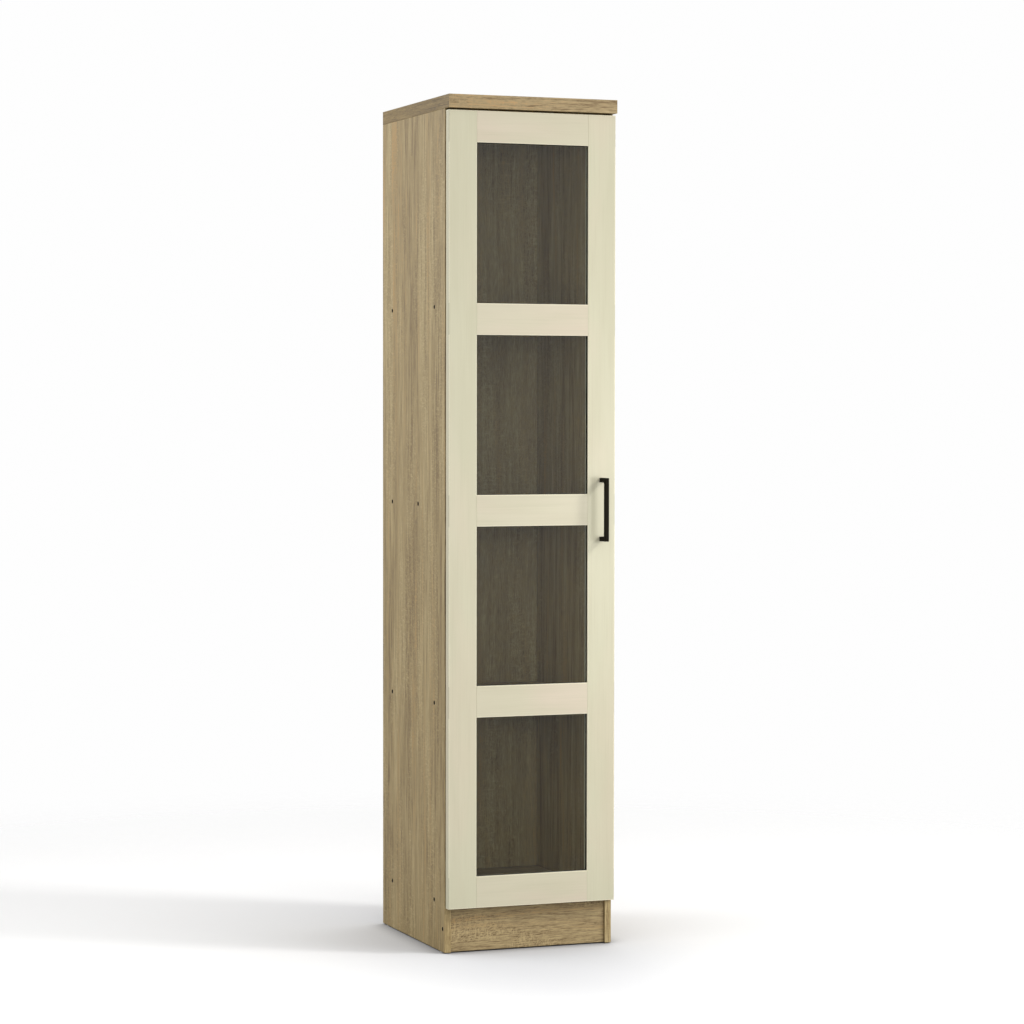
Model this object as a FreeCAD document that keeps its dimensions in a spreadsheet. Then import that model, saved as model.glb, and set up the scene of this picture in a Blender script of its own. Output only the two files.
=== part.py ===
import FreeCAD, Part
import math
import os
import re

import Sketcher
from FreeCAD import Rotation, Vector

# Tall utility cabinet with one glazed door. Millimetres; X to the right, Y to the back, Z up.
# The origin is the middle of the cabinet's footprint, on the floor.

# Driving sizes

SIZES = {
    # the cabinet as a whole; the depth is that of the side panels
    "cabinet_width": 400,
    "cabinet_height": 1900,
    "carcass_depth": 430,
    # boards
    "top_thickness": 30,
    "top_overhang": 27,
    "side_thickness": 15,
    "bottom_thickness": 15,
    "shelf_thickness": 15,
    "shelf_setback": 20,
    "middle_shelf_setback": 130,
    "plinth_thickness": 15,
    "plinth_height": 104,
    "plinth_recess": 6,
    "plinth_floor_gap": 3,
    "band_thickness": 1,
    "band_chamfer": 0.6,
    # back panel, nailed into a rebate in the sides
    "back_thickness": 3,
    "back_inset": 0.8,
    "rebate_width": 8,
    # floor glides, nailed under the sides
    "glide_height": 2,
    "glide_radius": 7,
    "glide_inset": 30,
    "glide_nail_radius": 1,
    "glide_nail_length": 14,
    # door frame
    "door_thickness": 18,
    "door_gap": 3,
    "door_reveal": 1.5,
    "door_top_gap": 4,
    "door_lap": 2,
    "stile_width": 66,
    "rail_height": 70,
    "door_chamfer": 1,
    "window_chamfer": 0.5,
    "groove_lip": 4,
    "groove_width": 6,
    "groove_depth": 8,
    "joint_clearance": 0.1,
    # glazing
    "glass_thickness": 4,
    "glazing_clearance": 0.1,
    "gasket_base": 0.9,
    "gasket_sight": 1.2,
    # door handle
    "handle_length": 142,
    "handle_projection": 35,
    "handle_width": 9,
    "handle_depth": 9,
    "handle_foot": 10,
    "handle_inset": 33,
    "handle_inner_radius": 3,
    "handle_outer_radius": 1.5,
    "handle_chamfer": 0.7,
    "handle_screw_radius": 2,
    "handle_screw_bite": 10,
    "handle_head_radius": 4.2,
    "handle_head_height": 2.2,
    # hinges: the pin, and the cup let into the door
    "hinge_end_distance": 100,
    "pin_inset": 6,
    "pin_sink": 7,
    "pin_radius": 1,
    "pin_length": 15.6,
    "pin_clearance": 0.05,
    "cup_radius": 17.5,
    "cup_depth": 12,
    "cup_edge_distance": 3,
    "cup_wall": 0.7,
    "cup_floor": 0.8,
    "cup_slot": 13,
    "flange_thickness": 1.2,
    "flange_margin": 1,
    "ear_offset": 6,
    "ear_spacing": 48,
    "ear_width": 12,
    # hinges: the arm, a hook that reaches round the side panel's front edge
    "hook_width": 7,
    "hook_thickness": 2.5,
    "hook_drop": 2.7,
    "hook_reach": 14,
    "eye_radius": 1.7,
    "hook_bend": 2.4,
    "arm_width": 12.4,
    "arm_start": 6,
    "arm_end": 56,
    "cheek_thickness": 1.4,
    "cheek_height": 3.2,
    "cheek_clearance": 0.2,
    # hinges: the mounting plate
    "plate_line": 37,
    "plate_screw_spacing": 32,
    "wing_length": 46,
    "wing_width": 12,
    "wing_thickness": 2,
    "arm_screw_line": 44,
    "adjuster_line": 18,
    "arm_screw_radius": 2.5,
    "arm_head_radius": 4,
    "arm_head_height": 1.8,
    # wood screws of the hinges
    "wood_screw_radius": 1.8,
    "wood_screw_length": 12,
    "wood_head_radius": 3.4,
    "wood_head_height": 1.4,
    # long screws through the sides, and the lines that they stand on
    "panel_screw_length": 50,
    "panel_screw_radius": 3,
    "panel_head_radius": 5,
    "panel_head_depth": 2.4,
    "socket_width": 4,
    "socket_depth": 2,
    "front_screw_line": 50,
    "bottom_screw_line": 70,
    "rear_screw_line": 68,
    "screw_clearance": 0.1,
    # cam fittings and dowels that hold the top
    "cam_radius": 7.5,
    "cam_depth": 12,
    "cam_drop": 34,
    "cam_line": 70,
    "cam_slot_width": 1.6,
    "cam_slot_depth": 2,
    "bolt_radius": 3,
    "bolt_bite": 12,
    "dowel_radius": 4,
    "dowel_length": 30,
    "dowel_bite": 11,
    "dowel_spacing": 40,
    # nails of the back panel
    "nail_radius": 0.8,
    "nail_length": 14,
    "nail_head_radius": 2.2,
    "nail_head_height": 0.6,
    "nail_end_distance": 60,
    "nail_inset": 90,
    # door bumpers
    "bumper_radius": 4,
    "bumper_thickness": 2.7,
    "bumper_end_distance": 45,
    # every cut runs past the face that it starts from by this much
    "overrun": 1,
}

SHELVES = 3
WINDOWS = 4
HINGES = 4
SIDE_NAILS = 8

# Small round pieces that repeat, and their holes, are prisms: this many sides keeps the mesh light
SHANK_SIDES = 8
HEAD_SIDES = 10
PIN_SIDES = 12
DISC_SIDES = 16
CUP_SIDES = 24

# Places, worked out from the sizes above

PLACES = {
    "left": "-cabinet_width / 2",
    "right": "cabinet_width / 2",
    "left_inner": "side_thickness - cabinet_width / 2",
    "right_inner": "cabinet_width / 2 - side_thickness",
    "front_reach": "door_gap + door_thickness + handle_projection",
    "front": "(front_reach - carcass_depth) / 2",
    "back": "(front_reach + carcass_depth) / 2",
    "top_front": "front - top_overhang",
    "top_underside": "cabinet_height - top_thickness",
    "bottom_top": "plinth_height + bottom_thickness",
    "back_panel_rear": "back - back_inset",
    "back_panel_front": "back_panel_rear - back_thickness",
    "plinth_front": "front + plinth_recess",
    "bay_height": f"(top_underside - bottom_top - {SHELVES} * shelf_thickness) / {SHELVES + 1}",
    "shelf_pitch": "bay_height + shelf_thickness",
    "door_left": "left + door_reveal",
    "door_right": "right - door_reveal",
    "door_back": "front - door_gap",
    "door_front": "door_back - door_thickness",
    "door_low": "plinth_height - door_lap",
    "door_high": "top_underside - door_top_gap",
    "door_height": "door_high - door_low",
    "window_width": "door_right - door_left - 2 * stile_width",
    "window_height": f"(door_height - {WINDOWS + 1} * rail_height) / {WINDOWS}",
    "window_pitch": "window_height + rail_height",
    "window_left": "door_left + stile_width",
    "groove_floor": "groove_depth - glazing_clearance",
    "glass_edge": "groove_floor - gasket_base",
    "groove_middle": "groove_lip + groove_width / 2",
    "handle_x": "door_right - handle_inset",
    "handle_low": "(door_high + door_low - handle_length) / 2",
    "handle_grip_depth": "handle_projection - handle_depth",
    "pin_x": "door_left + pin_inset",
    "pin_y": "door_back - pin_sink",
    "hinge_pitch": f"(door_height - 2 * hinge_end_distance) / {HINGES - 1}",
    "cup_middle": "cup_edge_distance + cup_radius - pin_inset",
    "cup_back": "pin_sink - cup_depth",
    "side_face": "left_inner - pin_x",
    "carcass_line": "pin_sink + door_gap",
    "web_low": "hook_reach - hook_thickness / 2",
    "web_high": "hook_reach + hook_thickness / 2",
    "hook_low": "-hook_drop - hook_thickness / 2",
    "hook_high": "hook_thickness / 2 - hook_drop",
    "rail_width": "arm_width - 2 * cheek_thickness - 2 * cheek_clearance",
    "board_middle": "left + side_thickness / 2",
    "cam_front": "front + cam_line",
    "cam_back": "back - cam_line",
    "cam_height": "top_underside - cam_drop",
    "side_nail_x": "left_inner - rebate_width / 2",
    "nail_pitch": f"(top_underside - plinth_height - 2 * nail_end_distance) / {SIDE_NAILS - 1}",
}

# The sheet, and the helpers that bind to it

doc = FreeCAD.newDocument("utility_cabinet")
sheet = doc.addObject("Spreadsheet::Sheet", "sizes")
for row, (alias, length) in enumerate(SIZES.items(), start=1):
    sheet.set(f"A{row}", alias)
    sheet.set(f"B{row}", str(length))
    sheet.setAlias(f"B{row}", alias)
doc.recompute()

nodes = []


def bound(text):
    """A formula with each place written out and each size pointed at its cell."""

    def swap(match):
        word = match[0]
        if word in PLACES:
            return f"({bound(PLACES[word])})"
        return f"sizes.{word}" if word in SIZES else word

    return re.sub(r"[a-z][a-z_]*", swap, text)


def number(text):
    """What a formula comes to now."""
    return float(sheet.evalExpression(bound(text)))


def bind(piece, **formulas):
    """Bind a piece's properties, such as Length, to formulas."""
    for name, text in formulas.items():
        piece.setExpression(name, bound(text))
    return piece


def put(piece, x="0", y="0", z="0", turn=None, place="Placement"):
    """Bind where a piece stands, after an optional turn."""
    if turn:
        setattr(piece, place, FreeCAD.Placement(Vector(), turn))
    for axis, text in zip("xyz", (x, y, z), strict=True):
        piece.setExpression(f"{place}.Base.{axis}", bound(text))
    return piece


def keep(piece, label):
    """Name a finished sub-part; its label becomes its file's name."""
    piece.Label = label
    nodes.append(piece)
    return piece


# Turns that point a piece made along +Z another way

TOWARDS = {
    "right": Rotation(Vector(0, 1, 0), 90),
    "left": Rotation(Vector(0, 1, 0), -90),
    "back": Rotation(Vector(1, 0, 0), -90),
    "front": Rotation(Vector(1, 0, 0), 90),
    "up": Rotation(),
    "down": Rotation(Vector(1, 0, 0), 180),
}


def block(name, x, y, z):
    """A box from its low and high place on each axis."""
    piece = doc.addObject("Part::Box", name)
    spans = {"Length": x, "Width": y, "Height": z}
    bind(piece, **{side: f"({high}) - ({low})" for side, (low, high) in spans.items()})
    return put(piece, x[0], y[0], z[0])


def rod(name, sides, radius, length, at=("0", "0", "0"), towards="up"):
    """A many-sided bar that starts at a place and runs one way; the radius is to its corners."""
    piece = bind(doc.addObject("Part::Prism", name), Circumradius=radius, Height=length)
    piece.Polygon = sides
    return put(piece, *at, turn=TOWARDS[towards])


def cone(name, sides, low_radius, high_radius, length):
    """A many-sided frustum that stands on the origin."""
    rings = []
    for end, radius, height in (("low", low_radius, "0"), ("high", high_radius, length)):
        ring = bind(doc.addObject("Part::RegularPolygon", f"{name}_{end}"), Circumradius=radius)
        ring.Polygon = sides
        rings.append(put(ring, z=height))
    piece = doc.addObject("Part::Loft", name)
    piece.Sections = rings
    piece.Solid = True
    piece.Ruled = True
    return piece


def fuse(name, *shapes):
    """Several overlapping shapes as one."""
    piece = doc.addObject("Part::MultiFuse", name)
    piece.Shapes = list(shapes)
    piece.Refine = True
    return piece


def group(name, *shapes):
    """Several separate shapes side by side."""
    piece = doc.addObject("Part::Compound", name)
    piece.Links = list(shapes)
    return piece


def cut(name, base, *tools):
    """A shape less its tools."""
    piece = doc.addObject("Part::Cut", name)
    piece.Base = base
    piece.Tool = tools[0] if len(tools) == 1 else group(f"{name}_tools", *tools)
    return piece


def copies(name, master, places, towards="up"):
    """A master shape repeated at a list of places, pointing one way."""
    links = []
    for number_of_copy, (x, y, z) in enumerate(places, start=1):
        link = doc.addObject("App::Link", f"{name}_copy_{number_of_copy}")
        link.LinkedObject = master
        links.append(put(link, x, y, z, turn=TOWARDS[towards], place="LinkPlacement"))
    return group(name, *links)


# Sketched bodies

PLANES = {"plan": "XY_Plane", "side": "YZ_Plane", "face": "XZ_Plane"}


def body(name):
    return doc.addObject("PartDesign::Body", name)


def sketch(piece, name, plane, lift="0"):
    """An empty sketch on one of the body's own planes, lifted along its normal."""
    drawing = piece.newObject("Sketcher::SketchObject", name)
    features = piece.Origin.OriginFeatures
    support = next(each for each in features if each.Role == PLANES[plane])
    drawing.AttachmentSupport = [(support, "")]
    drawing.MapMode = "FlatFace"
    drawing.setExpression("AttachmentOffset.Base.z", bound(lift))
    return drawing


def pin_down(drawing, element, point, place):
    """Bind a point of a sketch to its two formulas, measured from the origin."""
    for kind, text in zip(("DistanceX", "DistanceY"), place, strict=True):
        rule = Sketcher.Constraint(kind, -1, 1, element, point, number(text))
        index = drawing.addConstraint(rule)
        drawing.setExpression(f"Constraints[{index}]", bound(text))


def outline(piece, name, plane, corners, lift="0"):
    """A closed outline of straight lines through the given corners."""
    drawing = sketch(piece, name, plane, lift)
    points = [Vector(number(x), number(y), 0) for x, y in corners]
    for start, end in zip(points, points[1:] + points[:1], strict=True):
        drawing.addGeometry(Part.LineSegment(start, end), False)
    for index, corner in enumerate(corners):
        following = (index + 1) % len(corners)
        drawing.addConstraint(Sketcher.Constraint("Coincident", index, 2, following, 1))
        pin_down(drawing, index, 1, corner)
    return drawing


def pad(piece, name, drawing, length, both_ways=False):
    """A sketch drawn out along its normal, or half of the length each way."""
    result = piece.newObject("PartDesign::Pad", name)
    result.Profile = drawing
    result.SideType = "Symmetric" if both_ways else "One side"
    bind(result, Length=length)
    doc.recompute()


def boss(piece, name, sides, radius, length, at, towards, kind="Additive"):
    """A many-sided bar added to a body, placed as the body's own sketches are."""
    result = piece.newObject(f"PartDesign::{kind}Prism", name)
    result.Polygon = sides
    bind(result, Circumradius=radius, Height=length)
    put(result, *at, turn=TOWARDS[towards])
    doc.recompute()


def drill(piece, name, sides, radius, length, at, towards):
    """A many-sided hole in a body; it has to take something away."""
    before = piece.Shape.Volume
    boss(piece, name, sides, radius, length, at, towards, kind="Subtractive")
    if not piece.Shape.Volume < before:
        raise ValueError(f"{name} cuts nothing")


def ease(piece, kind, name, size, wanted):
    """A chamfer or fillet on the edges of a body that a test picks."""
    last = piece.Tip
    picked = [f"Edge{n}" for n, edge in enumerate(last.Shape.Edges, start=1) if wanted(edge)]
    result = piece.newObject(f"PartDesign::{kind}", name)
    result.Base = (last, picked)
    bind(result, **{"Size" if kind == "Chamfer" else "Radius": size})
    doc.recompute()
    return result


def near(first, second):
    return math.isclose(first, second, abs_tol=1e-6)


def runs(edge, axis, **where):
    """Is an edge straight along an axis, at the given places on the others?"""
    box = edge.BoundBox
    spans = {"x": box.XLength, "y": box.YLength, "z": box.ZLength}
    middles = {"x": box.Center.x, "y": box.Center.y, "z": box.Center.z}
    if spans.pop(axis) == 0 or not all(near(span, 0) for span in spans.values()):
        return False
    return all(near(middles[side], number(text)) for side, text in where.items())


# Screws and nails: each master has the middle of its head's outer face at the origin and points up


def sunk_screw(name, clearance):
    """A screw with a countersunk head, or with a clearance the hole that it needs."""
    wide = f"panel_head_radius + {clearance}"
    narrow = f"panel_screw_radius + {clearance}"
    return fuse(
        name,
        cone(f"{name}_head", HEAD_SIDES, wide, narrow, "panel_head_depth"),
        rod(f"{name}_shank", HEAD_SIDES, narrow, f"panel_screw_length + {clearance}"),
    )


socket = rod("socket", 6, "socket_width / sqrt(3)", "socket_depth")
panel_screw = cut("panel_screw", sunk_screw("panel_screw_blank", "0"), socket)
panel_screw_hole = sunk_screw("panel_screw_hole", "screw_clearance")


def headed(name, head_radius, head_height, radius, length):
    """A plain screw or nail: its length is counted from under its head."""
    head = rod(f"{name}_head", HEAD_SIDES, head_radius, head_height)
    shank = rod(f"{name}_shank", SHANK_SIDES, radius, f"{head_height} + {length}")
    return fuse(name, head, shank)


nail = headed("nail", "nail_head_radius", "nail_head_height", "nail_radius", "nail_length")
wood_screw = headed(
    "wood_screw",
    "wood_head_radius",
    "wood_head_height",
    "wood_screw_radius",
    "wood_screw_length",
)

# Shelves and the lines of screws that hold them

SHELF_NAMES = ["lower", "middle", "upper"]
SETBACKS = {"lower": "shelf_setback", "middle": "middle_shelf_setback", "upper": "shelf_setback"}


def shelf_low(count):
    """The underside of a shelf, counted from the lowest, which is 1."""
    return f"bottom_top + {count} * shelf_pitch - shelf_thickness"


# Where the screws cross a side panel: (Y, Z) pairs
screw_lines = [
    ("front + bottom_screw_line", "plinth_height + bottom_thickness / 2"),
    ("back - rear_screw_line", "plinth_height + bottom_thickness / 2"),
    ("plinth_front + plinth_thickness / 2", "(plinth_height + plinth_floor_gap) / 2"),
]
for count, shelf_name in enumerate(SHELF_NAMES, start=1):
    middle = f"{shelf_low(count)} + shelf_thickness / 2"
    screw_lines.append((f"front + {SETBACKS[shelf_name]} + front_screw_line", middle))
    screw_lines.append(("back - rear_screw_line", middle))


def screw_set(name, master):
    """A master at every screw place of both sides, pointing into the cabinet."""
    from_left = copies(f"{name}_left", master, [("left", y, z) for y, z in screw_lines], "right")
    from_right = copies(f"{name}_right", master, [("right", y, z) for y, z in screw_lines], "left")
    return from_left, from_right


holes_left, holes_right = screw_set("screw_holes", panel_screw_hole)
screws_left, screws_right = screw_set("panel_screws", panel_screw)
keep(group("panel_screws", screws_left, screws_right), "panel_screws")

# Cam fittings and dowels between the sides and the top

cam = cut(
    "cam",
    rod("cam_disc", DISC_SIDES, "cam_radius", "cam_depth"),
    block(
        "cam_slot",
        ("-cam_radius / 2", "cam_radius / 2"),
        ("-cam_slot_width / 2", "cam_slot_width / 2"),
        ("-overrun", "cam_slot_depth"),
    ),
    rod(
        "cam_bolt_way",
        SHANK_SIDES,
        "bolt_radius + screw_clearance",
        "2 * (cam_radius + overrun)",
        ("-cam_radius - overrun", "0", "side_thickness / 2"),
        "right",
    ),
)
bolt = rod("bolt", SHANK_SIDES, "bolt_radius", "cam_drop + bolt_bite")
dowel = rod("dowel", HEAD_SIDES, "dowel_radius", "dowel_length")

cam_ys = ["cam_front", "cam_back"]
dowel_ys = ["cam_front + dowel_spacing", "cam_back - dowel_spacing"]
EDGE_MIDDLES = {"left": "board_middle", "right": "-(board_middle)"}
FACES_IN = {"left": "left_inner", "right": "right_inner"}


def top_fitting_holes(side, turn):
    """The bores in one side panel for its cams, their bolts and its dowels."""
    middle = EDGE_MIDDLES[side]
    bore = rod(
        f"cam_bore_{side}",
        DISC_SIDES,
        "cam_radius + screw_clearance",
        "cam_depth + screw_clearance",
    )
    bolt_way = rod(
        f"bolt_way_{side}",
        SHANK_SIDES,
        "bolt_radius + screw_clearance",
        "cam_drop + overrun",
    )
    dowel_way = rod(
        f"dowel_way_{side}",
        HEAD_SIDES,
        "dowel_radius + screw_clearance",
        "dowel_length - dowel_bite + screw_clearance + overrun",
    )
    above = "top_underside + overrun"
    return [
        copies(f"cam_bores_{side}", bore, [(FACES_IN[side], y, "cam_height") for y in cam_ys], turn),
        copies(f"bolt_ways_{side}", bolt_way, [(middle, y, above) for y in cam_ys], "down"),
        copies(f"dowel_ways_{side}", dowel_way, [(middle, y, above) for y in dowel_ys], "down"),
    ]


def rebate(side, x):
    """The step along a side's rear edge that takes the back panel."""
    return block(
        f"rebate_{side}",
        x,
        ("back_panel_front", "back + overrun"),
        ("plinth_height", "top_underside + overrun"),
    )


board_x = {"left": ("left", "left_inner"), "right": ("right_inner", "right")}
rebate_x = {
    "left": ("left_inner - rebate_width", "left_inner + overrun"),
    "right": ("right_inner - overrun", "right_inner + rebate_width"),
}
way_in = {"left": "left", "right": "right"}
screw_holes = {"left": holes_left, "right": holes_right}
for side in ("left", "right"):
    board = block(
        f"side_board_{side}",
        board_x[side],
        ("front + band_thickness", "back"),
        ("glide_height", "top_underside"),
    )
    fittings = top_fitting_holes(side, way_in[side])
    step = rebate(side, rebate_x[side])
    keep(
        cut(f"side_panel_{side}", board, screw_holes[side], step, *fittings),
        f"side_panel_{side}",
    )

cams_left = copies("cams_left", cam, [("left_inner", y, "cam_height") for y in cam_ys], "left")
cams_right = copies("cams_right", cam, [("right_inner", y, "cam_height") for y in cam_ys], "right")
for link in cams_left.Links:
    link.LinkPlacement = FreeCAD.Placement(
        link.LinkPlacement.Base, TOWARDS["left"].multiply(Rotation(Vector(0, 0, 1), 180))
    )
keep(group("cam_locks", cams_left, cams_right), "cam_locks")


def edge_places(ys, height):
    """Places on the mid-lines of both side panels' top edges."""
    return [(middle, y, height) for middle in EDGE_MIDDLES.values() for y in ys]


bolt_places = edge_places(cam_ys, "cam_height")
dowel_places = edge_places(dowel_ys, "top_underside + dowel_bite - dowel_length")
keep(copies("cam_bolts", bolt, bolt_places), "cam_bolts")
keep(copies("top_dowels", dowel, dowel_places), "top_dowels")

# Top: a thick board, banded on its front and both ends

top_board = block(
    "top_board",
    ("left + band_thickness", "right - band_thickness"),
    ("top_front + band_thickness", "back"),
    ("top_underside", "cabinet_height"),
)
top_dowel_holes = copies(
    "top_dowel_holes",
    rod(
        "top_dowel_hole",
        HEAD_SIDES,
        "dowel_radius + screw_clearance",
        "dowel_bite + screw_clearance",
    ),
    edge_places(dowel_ys, "top_underside"),
)
top_bolt_holes = copies(
    "top_bolt_holes",
    rod("top_bolt_hole", SHANK_SIDES, "bolt_radius", "bolt_bite"),
    edge_places(cam_ys, "top_underside"),
)
keep(cut("top_panel", top_board, top_dowel_holes, top_bolt_holes), "top_panel")


def strip(name, x, y, z, wanted):
    """An edge band: a thin strip with its outer corners eased."""
    piece = body(name)
    bar = piece.newObject("PartDesign::AdditiveBox", f"{name}_bar")
    spans = {"Length": x, "Width": y, "Height": z}
    bind(bar, **{side: f"({high}) - ({low})" for side, (low, high) in spans.items()})
    put(piece, x[0], y[0], z[0])
    doc.recompute()
    ease(piece, "Chamfer", f"{name}_eased", "band_chamfer", wanted)
    return piece


top_bands = [
    strip(
        "top_band_front",
        ("left", "right"),
        ("top_front", "top_front + band_thickness"),
        ("top_underside", "cabinet_height"),
        lambda edge: runs(edge, "x", y="0"),
    ),
    strip(
        "top_band_left",
        ("left", "left + band_thickness"),
        ("top_front + band_thickness", "back"),
        ("top_underside", "cabinet_height"),
        lambda edge: runs(edge, "y", x="0"),
    ),
    strip(
        "top_band_right",
        ("right - band_thickness", "right"),
        ("top_front + band_thickness", "back"),
        ("top_underside", "cabinet_height"),
        lambda edge: runs(edge, "y", x="band_thickness"),
    ),
]
keep(group("top_edge_bands", *top_bands), "top_edge_bands")
for side in ("left", "right"):
    band = strip(
        f"side_band_{side}",
        board_x[side],
        ("front", "front + band_thickness"),
        ("glide_height", "top_underside"),
        lambda edge: runs(edge, "z", y="0"),
    )
    keep(band, f"side_edge_band_{side}")

# Bottom, shelves and their edge bands

inside_x = ("left_inner", "right_inner")


def level_board(name, front_edge, low, thickness):
    """A board between the sides, less its screw holes, and the band on its front edge."""
    high = f"{low} + {thickness}"
    board_y = (f"{front_edge} + band_thickness", "back_panel_front")
    board = block(f"{name}_board", inside_x, board_y, (low, high))
    band = strip(
        f"{name}_band",
        inside_x,
        (front_edge, f"{front_edge} + band_thickness"),
        (low, high),
        lambda edge: runs(edge, "x", y="0"),
    )
    return cut(name, board, holes_left, holes_right), band


bottom, bottom_band = level_board("bottom_panel", "front", "plinth_height", "bottom_thickness")
keep(bottom, "bottom_panel")
level_bands = [bottom_band]
for count, shelf_name in enumerate(SHELF_NAMES, start=1):
    front_edge = f"front + {SETBACKS[shelf_name]}"
    shelf, band = level_board(f"shelf_{shelf_name}", front_edge, shelf_low(count), "shelf_thickness")
    keep(shelf, f"shelf_{shelf_name}")
    level_bands.append(band)
keep(group("shelf_edge_bands", *level_bands), "shelf_edge_bands")

plinth_board = block(
    "plinth_blank",
    inside_x,
    ("plinth_front", "plinth_front + plinth_thickness"),
    ("plinth_floor_gap", "plinth_height"),
)
keep(cut("plinth_board", plinth_board, holes_left, holes_right), "plinth_board")

# Back panel and its nails

back_panel = block(
    "back_sheet",
    ("left_inner - rebate_width", "right_inner + rebate_width"),
    ("back_panel_front", "back_panel_rear"),
    ("plinth_height", "top_underside"),
)
keep(back_panel, "back_panel")
nail_places = []
for count in range(SIDE_NAILS):
    height = f"plinth_height + nail_end_distance + {count} * nail_pitch"
    nail_places += [("side_nail_x", height), ("-(side_nail_x)", height)]
bottom_middle = "plinth_height + bottom_thickness / 2"
nail_places += [("left_inner + nail_inset", bottom_middle), ("right_inner - nail_inset", bottom_middle)]
for count in range(1, SHELVES + 1):
    nail_places.append(("0", f"{shelf_low(count)} + shelf_thickness / 2"))
nail_spots = [(x, "back_panel_rear + nail_head_height", z) for x, z in nail_places]
keep(copies("back_nails", nail, nail_spots, "front"), "back_nails")

# Floor glides: a disc and its nail

glide = fuse(
    "glide",
    rod("glide_disc", DISC_SIDES, "glide_radius", "glide_height"),
    rod("glide_nail", SHANK_SIDES, "glide_nail_radius", "glide_height + glide_nail_length"),
)
glide_ys = ["front + glide_inset", "back - glide_inset"]
keep(copies("floor_glides", glide, edge_places(glide_ys, "0")), "floor_glides")

# Door stiles: one grooved section; the handle's stile is the same turned end for end

stile_section = [
    ("0", "door_chamfer"),
    ("door_chamfer", "0"),
    ("stile_width - window_chamfer", "0"),
    ("stile_width", "window_chamfer"),
    ("stile_width", "groove_lip"),
    ("stile_width - groove_depth", "groove_lip"),
    ("stile_width - groove_depth", "groove_lip + groove_width"),
    ("stile_width", "groove_lip + groove_width"),
    ("stile_width", "door_thickness"),
    ("0", "door_thickness"),
]


def stile(name):
    """A stile along +Z from the origin, its outer edge at X = 0 and its face at Y = 0."""
    piece = body(name)
    section = outline(piece, f"{name}_section", "plan", stile_section)
    pad(piece, f"{name}_pad", section, "door_height")
    return piece


hinge_heights = [f"hinge_end_distance + {count} * hinge_pitch" for count in range(HINGES)]
hinge_stile = stile("hinge_stile")
for count, height in enumerate(hinge_heights, start=1):
    drill(
        hinge_stile,
        f"cup_bore_{count}",
        CUP_SIDES,
        "cup_radius + joint_clearance",
        "cup_depth + joint_clearance + overrun",
        ("cup_edge_distance + cup_radius", "door_thickness + overrun", height),
        "front",
    )
put(hinge_stile, "door_left", "door_front", "door_low")
keep(hinge_stile, "door_stile_hinge")

handle_stile = stile("handle_stile")
grip_middle = "door_height / 2"
screw_reach = "(handle_length - handle_foot) / 2"
handle_screw_heights = [f"{grip_middle} - {screw_reach}", f"{grip_middle} + {screw_reach}"]
for count, height in enumerate(handle_screw_heights, start=1):
    drill(
        handle_stile,
        f"handle_screw_way_{count}",
        SHANK_SIDES,
        "handle_screw_radius + screw_clearance",
        "door_thickness + 2 * overrun",
        ("handle_inset", "door_thickness + overrun", height),
        "front",
    )
end_for_end = Rotation(Vector(0, 1, 0), 180)
put(handle_stile, "door_right", "door_front", "door_high", turn=end_for_end)
keep(handle_stile, "door_stile_handle")

# Door rails: grooved for the glass, with a stub tongue at each end that fills the stile's groove


def rail(name, groove_below, groove_above):
    """A rail along +X from the origin, its face at Y = 0 and its lower edge at Z = 0."""
    piece = body(name)
    lip_back = "groove_lip + groove_width"
    low = [("window_chamfer", "0")]
    if groove_below:
        low += [
            ("groove_lip", "0"),
            ("groove_lip", "groove_depth"),
            (lip_back, "groove_depth"),
            (lip_back, "0"),
        ]
    low.append(("door_thickness", "0"))
    high = [("door_thickness", "rail_height")]
    if groove_above:
        high += [
            (lip_back, "rail_height"),
            (lip_back, "rail_height - groove_depth"),
            ("groove_lip", "rail_height - groove_depth"),
            ("groove_lip", "rail_height"),
        ]
    high += [
        ("window_chamfer", "rail_height"),
        ("0", "rail_height - window_chamfer"),
        ("0", "window_chamfer"),
    ]
    section = outline(piece, f"{name}_section", "side", low + high)
    pad(piece, f"{name}_pad", section, "window_width")
    tongue_low = "groove_depth" if groove_below else "0"
    tongue_high = "rail_height - groove_depth" if groove_above else "rail_height"
    front_cheek = "groove_lip + joint_clearance"
    back_cheek = f"{lip_back} - joint_clearance"
    tongue = outline(
        piece,
        f"{name}_tongue_section",
        "side",
        [
            (front_cheek, tongue_low),
            (back_cheek, tongue_low),
            (back_cheek, tongue_high),
            (front_cheek, tongue_high),
        ],
        lift="joint_clearance - groove_depth",
    )
    both_tongues = "window_width + 2 * (groove_depth - joint_clearance)"
    pad(piece, f"{name}_tongues", tongue, both_tongues)
    return piece


RAIL_NAMES = ["bottom", "lower", "middle", "upper", "top"]
for count, rail_name in enumerate(RAIL_NAMES):
    is_bottom = rail_name == "bottom"
    is_top = rail_name == "top"
    piece = rail(f"rail_{rail_name}", not is_bottom, not is_top)
    put(piece, "window_left", "door_front", f"door_low + {count} * window_pitch")
    keep(piece, f"door_rail_{rail_name}")

# Panes, each in a channel gasket that fills the grooves round its window


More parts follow.
